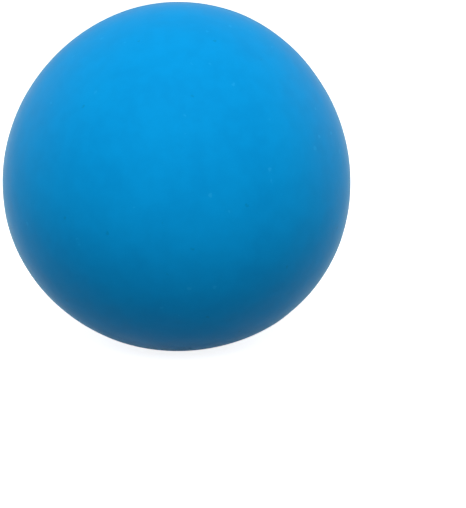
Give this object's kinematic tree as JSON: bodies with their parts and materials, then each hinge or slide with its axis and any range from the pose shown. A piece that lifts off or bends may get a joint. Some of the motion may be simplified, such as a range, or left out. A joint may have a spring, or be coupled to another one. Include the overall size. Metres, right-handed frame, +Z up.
{
  "type": "stress ball",
  "caption": "Palm-sized colour-changing stress ball: soft moulded skin filled with dough, closed by a glued plug, that squashes and slowly springs back.",
  "frame": {"origin": "centre of the small flat patch that the ball stands on, on the ball's axis", "axes": "+Z up from the fill plug through the crown; the ball is round about Z, so X and Y are free"},
  "size_m": [0.06, 0.06, 0.059],
  "materials": {
    "skin_tpr": "matt, slightly powdery soft thermoplastic rubber, bright azure blue",
    "dough": "smooth soft dough, hot pink, slightly translucent",
    "plug_tpr": "satin thermoplastic rubber, azure blue",
    "glue": "clear glossy flexible adhesive"
  },
  "bodies": {
    "lower_half": {"skin_lower": "skin_tpr", "filling": "dough", "fill_plug": "plug_tpr", "plug_adhesive": "glue"},
    "upper_half": {"skin_upper": "skin_tpr"}
  },
  "joints": [
    {"name": "squeeze", "type": "slide", "parent": "lower_half", "child": "upper_half", "axis": [0, 0, -1], "range_m": [-0.008, 0.024], "stiffness_N_per_m": 1250, "deforming": ["skin_lower", "filling"]}
  ]
}
